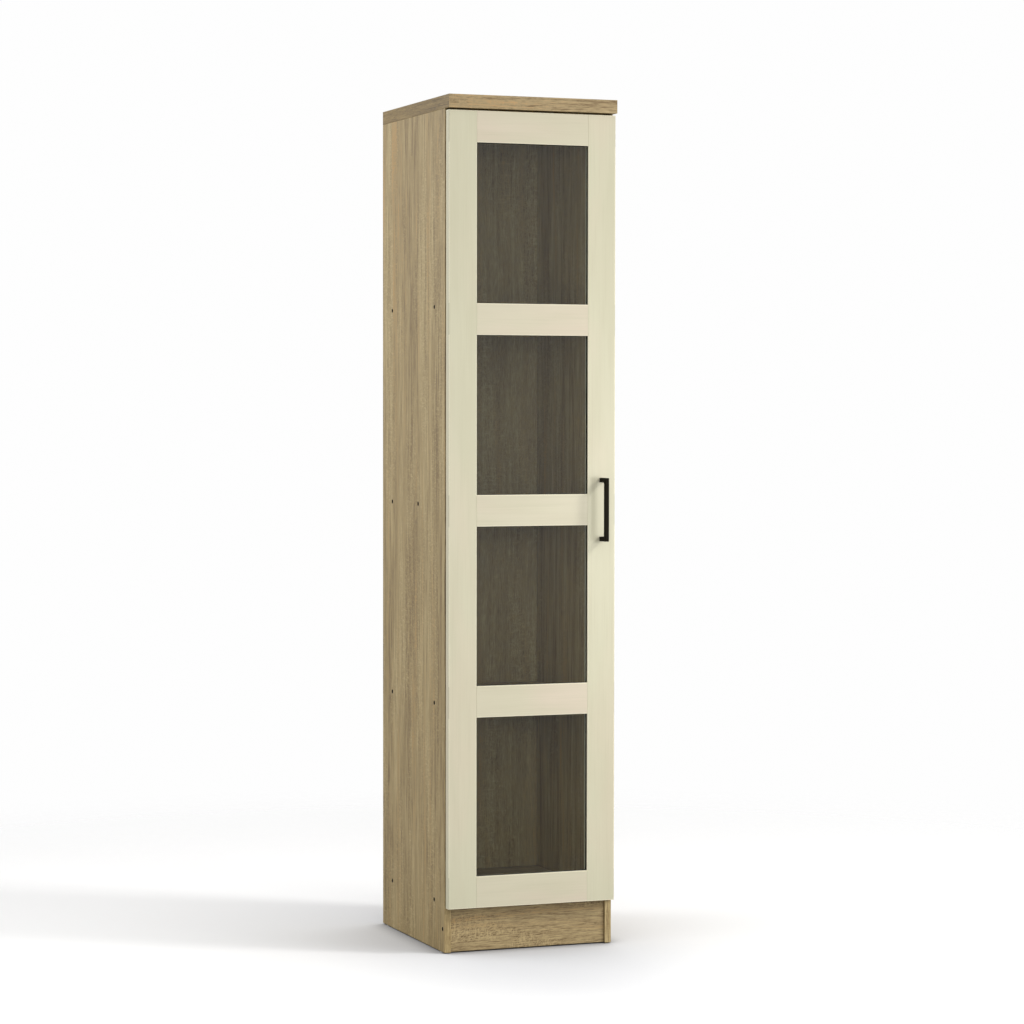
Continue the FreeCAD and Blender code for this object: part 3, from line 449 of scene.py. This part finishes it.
def faces_along(tree, normal, axis, both=True):
    """A mask that is 1 on the faces that look along an axis, or only to its positive side."""
    part = place(tree, "SeparateXYZ", Vector=normal).outputs["XYZ".index(axis)]
    if both:
        part = maths(tree, "ABSOLUTE", part)
    return maths(tree, "GREATER_THAN", part, SQUARE_ON)


print("material helpers are ready")

# %% [markdown]
# A board has foil on its two wide faces, and its core shows on the rest. Which faces are wide
# depends on how the board stands, so the maker of this material is told the axis that they look
# along and the axis that the grain runs along. A seed moves each board to another spot of the
# endless print, so that no two look alike. The plinth's print is finer and rougher than the
# sides'. The thin bands on the front edges are one edging, but the right band's tones are
# painted lighter than the left's, as painted light.


# %% Materials: oak-print boards
def oak_board(name, grain, wide, seed, finer=1.0, **changes):
    """Printed foil on the two wide faces, chipboard on the others."""
    material, tree, point, normal = start(name)
    oak = use(
        tree, oak_print, Along=grain_vector(tree, point, grain, seed, finer), **changes
    ).outputs
    core = use(tree, chip_core, Point=point).outputs
    foil = faces_along(tree, normal, wide)
    colour = blend_colours(tree, foil, core["Color"], oak["Color"])
    # painted shade: the colour is darkened in narrow gaps and corners
    colour = use(tree, gap_shade, Color=colour).outputs["Color"]
    finish_material(tree, colour, oak["Roughness"], oak["Height"], bump=0.25, depth=0.00015)
    return material


def oak_band(name, grain, seed, **tones):
    """A thin strip of printed edging, calmer than the boards."""
    material, tree, point, _ = start(name)
    along = grain_vector(tree, point, grain, seed)
    oak = use(tree, oak_print, Along=along, Figure=0.8, Crackle=0.3, **tones).outputs
    # painted shade: the colour is darkened in narrow gaps and corners
    colour = use(tree, gap_shade, Color=oak["Color"]).outputs["Color"]
    finish_material(tree, colour, oak["Roughness"], oak["Height"], bump=0.2, depth=0.0001)
    return material


SOFT_PRINT = {"Figure": 1.15, "Fibre": 0.8, "Fleck": 0.6, "Crackle": 0.75, "Pores": 0.5}
PLINTH_PRINT = {
    "Figure": 0.40,
    "Fibre": 1.15,
    "Fleck": 1.3,
    "Crackle": 1.3,
    "Pores": 0.3,
    "Pale": paint(194, 172, 126),
    "Middle": paint(168, 146, 105),
    "Deep": paint(116, 94, 61),
    "Warm": paint(183, 149, 98),
}
BAND_LEFT = {
    "Pale": paint(194, 172, 123),
    "Middle": paint(168, 145, 100),
    "Deep": paint(116, 93, 56),
    "Warm": paint(183, 147, 92),
}
# painted light: the same edging as the left band, its tones painted lighter
BAND_RIGHT_PAINTED_LIGHTER = {
    "Pale": paint(212, 191, 143),
    "Middle": paint(188, 166, 119),
    "Deep": paint(144, 120, 79),
    "Warm": paint(200, 166, 112),
}
upright_left = oak_board("oak upright left", "Z", "X", (3.1, 0.4, 0.0), **SOFT_PRINT)
upright_right = oak_board("oak upright right", "Z", "X", (7.7, 5.3, 2.0), **SOFT_PRINT)
level = oak_board("oak level", "X", "Z", (1.9, 2.6, 4.0), **SOFT_PRINT)
plinth_oak = oak_board("oak plinth", "X", "Y", (5.2, 8.4, 1.0), finer=1.25, **PLINTH_PRINT)
left_band = oak_band("oak band upright", "Z", (9.0, 1.0, 3.0), **BAND_LEFT)
lit_right_band = oak_band("oak band upright, right, painted lighter", "Z", (4.0, 6.0, 2.0), **BAND_RIGHT_PAINTED_LIGHTER)
shelf_band = oak_band("oak band level", "X", (2.0, 7.0, 5.0))
print("board materials:", [m.name for m in bpy.data.materials if m.name.startswith("oak")])

# %% [markdown]
# The top's bands are one node with three strips. The front strip's grain runs across the
# cabinet and the end strips' grain runs front to back, so the material picks by which way a face
# looks. The back panel is a printed sheet of hardboard: oak inside, bare brown board behind.


# %% Materials: the top's bands and the back panel
TOP_FRONT = {
    "Pale": paint(200, 179, 134),
    "Middle": paint(175, 153, 112),
    "Deep": paint(128, 104, 68),
    "Warm": paint(196, 158, 106),
}
DUSKY = {
    "Pale": paint(155, 131, 82),
    "Middle": paint(133, 110, 63),
    "Deep": paint(98, 78, 38),
    "Warm": paint(148, 117, 64),
}


def top_band_material():
    """One material for the three strips of the top; the end strips are duller."""
    material, tree, point, normal = start("oak band top")
    along = grain_vector(tree, point, "X", (4.0, 3.0, 8.0))
    across = use(
        tree, oak_print, Along=along, Figure=0.6, Fleck=1.2, Crackle=0.4, Pores=0.5, **TOP_FRONT
    )
    along = grain_vector(tree, point, "Y", (6.0, 2.0, 9.0))
    ends = use(tree, oak_print, Along=along, Crackle=0.2, **DUSKY)
    is_end = faces_along(tree, normal, "X")
    colour = blend_colours(tree, is_end, across.outputs["Color"], ends.outputs["Color"])
    # painted shade: the colour is darkened in narrow gaps and corners
    colour = use(tree, gap_shade, Color=colour).outputs["Color"]
    height = across.outputs["Height"]
    finish_material(tree, colour, across.outputs["Roughness"], height, bump=0.2, depth=0.0001)
    return material


def back_sheet_material():
    """Printed oak towards the door, bare brown fibre towards the wall."""
    material, tree, point, normal = start("oak back sheet")
    along = grain_vector(tree, point, "Z", (0.7, 3.3, 6.0))
    oak = use(
        tree, oak_print, Along=along, Figure=0.55, Fibre=0.5, Crackle=0.7, Pores=0.3
    ).outputs
    fibres = use(
        tree,
        uneven,
        Point=point,
        Light_tone=paint(150, 116, 80),
        Dark_tone=paint(118, 88, 58),
        Grit_per_metre=1400.0,
        Rough_from=0.7,
        Rough_to=0.85,
    ).outputs
    rear = faces_along(tree, normal, "Y", both=False)
    colour = blend_colours(tree, rear, oak["Color"], fibres["Color"])
    rough = maths(tree, "MAXIMUM", oak["Roughness"], maths(tree, "MULTIPLY", rear, 0.8))
    finish_material(tree, colour, rough, oak["Height"], bump=0.2, depth=0.0001)
    return material


top_band = top_band_material()
back_sheet = back_sheet_material()
print("top bands and back sheet are made")

# %% [markdown]
# On the door, the pale line runs round each pane, on the edges of the rails and of the stiles.
# Where a stile meets a rail there is a plain joint, and no line. The panes repeat up the door at
# an even step, so the height above the first pane's foot, divided by that step, has a fraction
# that says whether a point of a stile is beside a pane or beside a rail.

# %% Materials: the door's foil
FIRST_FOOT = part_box("door_rail_bottom")[1][2]
FIRST_HEAD, SECOND_FOOT = (corner[2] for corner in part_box("door_rail_lower"))
PANE_STEP = SECOND_FOOT - FIRST_FOOT
PANE_SHARE = (FIRST_HEAD - FIRST_FOOT) / PANE_STEP
HIGHLIGHT_WIDTH = 0.004
HIGHLIGHT_TONE = paint(250, 243, 214)


def beside_pane(tree, point):
    """1 where a point of a stile stands beside a pane, 0 beside a rail."""
    height = place(tree, "SeparateXYZ", Vector=point).outputs["Z"]
    steps = maths(tree, "DIVIDE", maths(tree, "SUBTRACT", height, FIRST_FOOT), PANE_STEP)
    return maths(tree, "LESS_THAN", maths(tree, "FRACT", steps), PANE_SHARE)


def foil_material(name, grain, seed, **tones):
    """Cream foil along a bar of the frame, with a painted highlight along its edges."""
    material, tree, point, _ = start(name)
    foil = use(tree, cream_foil, Along=grain_vector(tree, point, grain, seed), **tones).outputs
    highlight_masks = use(tree, edge_highlight, Radius=HIGHLIGHT_WIDTH).outputs
    beside = maths(tree, "MULTIPLY", highlight_masks["Any edge"], beside_pane(tree, point))
    edge = maths(tree, "MAXIMUM", highlight_masks["Level edge"], beside)
    # painted highlight: the edges are lightened towards a pale tone
    colour = blend_colours(tree, edge, foil["Color"], HIGHLIGHT_TONE)
    finish_material(tree, colour, foil["Roughness"], foil["Height"], bump=0.25, depth=0.00012)
    return material


stile_foil = foil_material("cream stile", "Z", (1.0, 4.0, 0.0), Blush=paint(222, 213, 187))
rail_foil = foil_material("cream rail", "X", (3.0, 1.0, 5.0), Cream=paint(220, 213, 187))
print("panes repeat every", round(PANE_STEP, 4), "m and fill", round(PANE_SHARE, 3), "of it")

# %% [markdown]
# Glass is a Principled shader that lets light through. Real panes also let lamps light what is
# behind them, which a path tracer finds slowly, so rays that look for a lamp meet a plain
# tinted filter instead. The tint is the smoke of the real panes. Window glass bends light by an
# IOR of 1.5; a little less keeps the reflections as faint as they are in the photograph.

# %% Material: smoked glass
SMOKE = paint(235, 242, 245)
GLASS_IOR = 1.4
ONE_FACE = (*(math.sqrt(part) for part in SMOKE[:3]), 1.0)  # a pane has two faces to cross


def glass_material():
    material, tree, _, _ = start("smoked glass")
    glass = place(
        tree,
        "BsdfPrincipled",
        Base_Color=SMOKE,
        Roughness=0.02,
        IOR=GLASS_IOR,
        Transmission_Weight=1.0,
    )
    tinted = place(tree, "BsdfTransparent", Color=ONE_FACE)
    rays = tree.nodes.new("ShaderNodeLightPath").outputs
    mixed = place(
        tree, "MixShader", _0=rays["Is Shadow Ray"], _1=glass.outputs[0], _2=tinted.outputs[0]
    )
    place(tree, "OutputMaterial", Surface=mixed.outputs[0])
    return material


smoked_glass = glass_material()
print("glass lets", round(SMOKE[0], 2), "of red light through")

# %% [markdown]
# The small parts share one recipe: a light and a dark tone, and how rough the surface is. The
# handle and the screw heads are black and dull, the gaskets are dark rubber, the hinges bright
# nickel, and the parts that nobody looks at are zinc, cast metal, beech and plain plastic.


# %% Materials: metal, rubber, plastic and paint
def plain_material(name, light, dark, rough, grit=2500.0, bump=0.1, **constants):
    """An even-coloured finish with clouds and grit, for small parts."""
    material, tree, point, _ = start(name)
    surface = use(
        tree,
        uneven,
        Point=point,
        Light_tone=paint(*light),
        Dark_tone=paint(*dark),
        Grit_per_metre=grit,
        Rough_from=rough[0],
        Rough_to=rough[1],
    ).outputs
    finish_material(
        tree,
        surface["Color"],
        surface["Roughness"],
        surface["Height"],
        bump=bump,
        depth=0.0001,
        **constants,
    )
    return material


handle_black = plain_material(
    "handle black", (30, 25, 14), (20, 16, 8), (0.55, 0.70), 3200.0, 0.2, Specular_IOR_Level=0.08
)
screw_dark = plain_material(
    "screw dark", (24, 19, 13), (11, 9, 6), (0.60, 0.80), 3000.0, Specular_IOR_Level=0.2
)
gasket_rubber = plain_material(
    "gasket rubber", (24, 19, 11), (12, 9, 5), (0.60, 0.80), 3500.0, Specular_IOR_Level=0.2
)
nickel = plain_material(
    "hinge nickel", (232, 230, 224), (208, 206, 200), (0.34, 0.48), 1800.0, 0.05, Metallic=1.0
)
zinc = plain_material(
    "zinc plate", (190, 190, 186), (150, 151, 149), (0.28, 0.46), 2200.0, 0.1, Metallic=1.0
)
cam_metal = plain_material(
    "cam casting", (168, 168, 166), (126, 127, 127), (0.40, 0.60), 2800.0, 0.3, Metallic=1.0
)
beech = plain_material("beech dowel", (214, 182, 138), (184, 148, 104), (0.6, 0.8), 900.0, 0.3)
glide_plastic = plain_material("glide plastic", (226, 224, 216), (206, 203, 194), (0.40, 0.55))
bumper_gel = plain_material(
    "bumper gel", (222, 224, 222), (204, 206, 204), (0.18, 0.30), 1500.0, 0.05
)
print(len(bpy.data.materials), "materials so far")

# %% [markdown]
# Now each CAD node gets its finish. The table reads as a parts list: a node takes the first line
# that its name starts with. A node that no line fits would stop the script, so none is forgotten.

# %% Give every CAD node its finish
FINISHES = {
    "side_panel_left": upright_left,
    "side_panel_right": upright_right,
    "side_edge_band_left": left_band,
    "side_edge_band_right": lit_right_band,
    "top_panel": level,
    "top_edge_bands": top_band,
    "bottom_panel": level,
    "shelf_edge_bands": shelf_band,
    "shelf_": level,
    "plinth_board": plinth_oak,
    "back_panel": back_sheet,
    "back_nails": zinc,
    "door_stile": stile_foil,
    "door_rail": rail_foil,
    "glass_pane": smoked_glass,
    "glass_gasket": gasket_rubber,
    "handle_screws": zinc,
    "handle": handle_black,
    "hinge_": nickel,
    "cup_screws": nickel,
    "plate_screws": nickel,
    "arm_screws": zinc,
    "panel_screws": screw_dark,
    "cam_locks": cam_metal,
    "cam_bolts": zinc,
    "top_dowels": beech,
    "floor_glides": glide_plastic,
    "door_bumpers": bumper_gel,
}


def finish_for(name):
    """The first finish in the table whose key starts the node's name."""
    return next(finish for key, finish in FINISHES.items() if name.startswith(key))


for name, node in nodes.items():
    node.data.materials.clear()
    node.data.materials.append(finish_for(name))
print("finished", len(nodes), "nodes")

# %% [markdown]
# No edge in a factory is perfectly sharp, and the thin highlight along an edge is what tells
# the eye that a thing is solid. A Bevel modifier rounds the edges by a fraction of a millimetre.
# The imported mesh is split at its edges, so a Weld modifier joins it first. Modifiers leave the
# CAD mesh itself alone.

# %% Soften the edges
WELD_REACH = 0.00001
LEAST_ROUND = 0.0002  # metres, as in the table
SHARP_TURN = math.radians(35)
ROUND_STEPS = 2
SOFT_EDGES = {
    "side_panel": 0.0003,
    "side_edge_band": 0.0002,
    "top_panel": 0.0003,
    "top_edge_bands": 0.0002,
    "bottom_panel": 0.0003,
    "shelf_edge_bands": 0.0002,
    "shelf_": 0.0003,
    "plinth_board": 0.0004,
    "door_stile": 0.0005,
    "door_rail": 0.0003,
    "glass_gasket": 0.0003,
    "handle": 0.0005,
}
for name, node in nodes.items():
    widths = (width for key, width in SOFT_EDGES.items() if name.startswith(key))
    weld = node.modifiers.new("join", "WELD")
    weld.merge_threshold = WELD_REACH
    bevel = node.modifiers.new("soften", "BEVEL")
    bevel.width = next(widths, LEAST_ROUND)
    bevel.segments = ROUND_STEPS
    bevel.limit_method = "ANGLE"
    bevel.angle_limit = SHARP_TURN
print("edges softened on", len(nodes), "nodes")

# %% [markdown]
# The floor is a plain white sheet that fades away at a distance, so that the room has no
# horizon. Three tones of painted shade darken it round the cabinet: a wide painted shadow round
# it and a narrow painted shade in the corner at its foot, both from the Ambient Occlusion node,
# and a faint painted shadow pool before the plinth. Light that bounces off the sheet is greyer
# than the sheet looks, or it would brighten the cabinet's foot.


# %% Floor
FADE_FROM, FADE_TO = 1.3, 2.8  # metres from the middle
SHEET = paint(253, 253, 253), paint(255, 255, 255)
SHELTER_SHADE = paint(193, 196, 202), paint(195, 198, 204)
SHELTER_REACH, CORNER_REACH = 0.8, 0.06
CORNER_SHADE = paint(150, 150, 152)
POOL_SPOT, POOL_SHAPE = (-0.1, -0.35, 0.0), (1.6, 1.0, 0.0)
POOL_FROM, POOL_TO = 0.10, 0.80
POOL_SHADE = paint(230, 230, 232)
BOUNCE = paint(157, 157, 157)


def floor_material():
    material, tree, point, _ = start("studio floor")
    flat = place(tree, "VectorMath", {"operation": "MULTIPLY"}, _0=point, _1=(1.0, 1.0, 0.0))
    away = place(tree, "VectorMath", {"operation": "LENGTH"}, _0=flat.outputs[0]).outputs["Value"]
    gone = between(tree, away, FADE_FROM, FADE_TO)
    paper = speckle(tree, point, (900.0, 900.0, 900.0))
    open_tone = blend_colours(tree, paper, *SHEET)
    # painted shadow: a faint pool of darker tone before the plinth
    shaped = place(tree, "VectorMath", {"operation": "MULTIPLY"}, _0=point, _1=POOL_SHAPE)
    before = place(
        tree, "VectorMath", {"operation": "DISTANCE"}, _0=shaped.outputs[0], _1=POOL_SPOT
    )
    pool = between(tree, before.outputs["Value"], POOL_FROM, POOL_TO)
    open_tone = blend_colours(tree, pool, POOL_SHADE, open_tone)
    # painted shade: the sheet is darker where the cabinet shelters it
    shelter = place(tree, "AmbientOcclusion", Distance=SHELTER_REACH).outputs["AO"]
    sheltered = blend_colours(tree, paper, *SHELTER_SHADE)
    seen_tone = blend_colours(tree, shelter, sheltered, open_tone)
    # painted shade: darker still in the corner at the cabinet's foot
    nearby = place(tree, "AmbientOcclusion", Distance=CORNER_REACH).outputs["AO"]
    corner = between(tree, nearby, 0.2, 1.0)
    seen_tone = blend_colours(tree, corner, CORNER_SHADE, seen_tone)
    rays = tree.nodes.new("ShaderNodeLightPath").outputs
    tone = blend_colours(tree, rays["Is Camera Ray"], BOUNCE, seen_tone)
    sheet = place(tree, "BsdfPrincipled", Base_Color=tone, Roughness=0.9)
    sheet.inputs["Specular IOR Level"].default_value = 0.0
    clear = place(tree, "BsdfTransparent")
    mixed = place(tree, "MixShader", _0=gone, _1=sheet.outputs[0], _2=clear.outputs[0])
    place(tree, "OutputMaterial", Surface=mixed.outputs[0])
    return material


FLOOR_REACH = 6.0
quarters = ((-1, -1), (1, -1), (1, 1), (-1, 1))
corners = [(x * FLOOR_REACH, y * FLOOR_REACH, 0.0) for x, y in quarters]
floor_mesh = bpy.data.meshes.new("floor")
floor_mesh.from_pydata(corners, [], [(0, 1, 2, 3)])
floor = bpy.data.objects.new("floor", floor_mesh)
bpy.context.scene.collection.objects.link(floor)
floor_mesh.materials.append(floor_material())
print("floor reaches", FLOOR_REACH, "m each way")

# %% [markdown]
# The photograph is lit softly from everywhere, with one large lamp high on the right in front
# that throws a faint shadow to the left. A white world gives the first, area lamps the rest.
# The lamps are hidden from the camera, and from rays that have passed through glass: else the
# panes of the open door would show them as white squares.

# %% Lamps
AIM = Vector((0.0, 0.0, 0.95))


def lamp(name, spot, size, power, colour=(1.0, 1.0, 1.0)):
    """A square area lamp that looks at the cabinet's middle; metres and watts."""
    data = bpy.data.lights.new(name, "AREA")
    data.size = size
    data.energy = power
    data.color = colour
    made = bpy.data.objects.new(name, data)
    made.visible_camera = False
    made.visible_transmission = False
    made.location = spot
    made.rotation_euler = (AIM - Vector(spot)).to_track_quat("-Z", "Y").to_euler()
    bpy.context.scene.collection.objects.link(made)


lamp("key lamp", (4.11, -2.87, 4.24), 1.0, 150.0, (1.0, 0.99, 0.97))
lamp("lamp by the camera", (-2.5, -6.8, 1.62), 0.5, 27.0)
lamp("left soft box", (-1.8, 0.8, 2.0), 1.4, 14.0)
lamp("right soft box", (0.9, -1.3, 0.95), 0.5, 6.0)
print(len(bpy.data.lights), "lamps")

# %% [markdown]
# The world has two faces. The camera sees plain white behind the cabinet. All other rays get a
# softer sky, and less light from below the horizon, where a real studio has its floor. A ray's
# direction has a length of one, so its Z says how steeply it points up or down.

# %% World
SKY, BELOW = 0.742, 0.26
FALL_FROM, FALL_TO = -0.21, -0.01
BACKDROP = 0.99
WHITE = (1.0, 1.0, 1.0, 1.0)
world = bpy.data.worlds.new("studio")
world.use_nodes = True
world.node_tree.nodes.clear()
tree = world.node_tree
rays = tree.nodes.new("ShaderNodeLightPath").outputs
direction = tree.nodes.new("ShaderNodeTexCoord").outputs["Generated"]
height = place(tree, "SeparateXYZ", Vector=direction).outputs["Z"]
strength = between(tree, height, FALL_FROM, FALL_TO, BELOW, SKY)
glow = place(tree, "Background", Color=WHITE, Strength=strength)
seen = place(tree, "Background", Color=WHITE, Strength=BACKDROP)
mixed = place(
    tree, "MixShader", _0=rays["Is Camera Ray"], _1=glow.outputs[0], _2=seen.outputs[0]
)
place(tree, "OutputWorld", Surface=mixed.outputs[0])
bpy.context.scene.world = world
bpy.context.scene.view_settings.view_transform = "Standard"
print("the world gives", SKY, "from above and", BELOW, "from below")

# %% [markdown]
# The camera stands where the photographer stood: in front and to the left, a little above
# waist height, with a long lens. Its place was found by matching the cabinet's corners. Yaw turns
# it to the right of straight ahead, pitch up, and roll tilts the picture.

# %% Camera
PHOTO_SIDE = 1024
FOCAL_PIXELS = 3074.5
SENSOR_MM = 36.0
SPOT = Vector((-2.4823, -6.5806, 1.2104))
YAW, PITCH, ROLL = 20.898, -1.929, 0.066
yaw, pitch, roll = (math.radians(angle) for angle in (YAW, PITCH, ROLL))
ahead = Vector(
    (math.sin(yaw) * math.cos(pitch), math.cos(yaw) * math.cos(pitch), math.sin(pitch))
)
level_right = Vector((math.cos(yaw), -math.sin(yaw), 0.0))
level_up = level_right.cross(ahead)
right = math.cos(roll) * level_right + math.sin(roll) * level_up
up = math.cos(roll) * level_up - math.sin(roll) * level_right
camera_data = bpy.data.cameras.new("camera")
camera_data.sensor_width = SENSOR_MM
camera_data.lens = FOCAL_PIXELS / PHOTO_SIDE * SENSOR_MM
camera = bpy.data.objects.new("camera", camera_data)
turned = Matrix((right, up, -ahead)).transposed().to_4x4()
camera.matrix_world = Matrix.Translation(SPOT) @ turned
bpy.context.scene.collection.objects.link(camera)
bpy.context.scene.camera = camera
print("lens", round(camera_data.lens, 1), "mm")
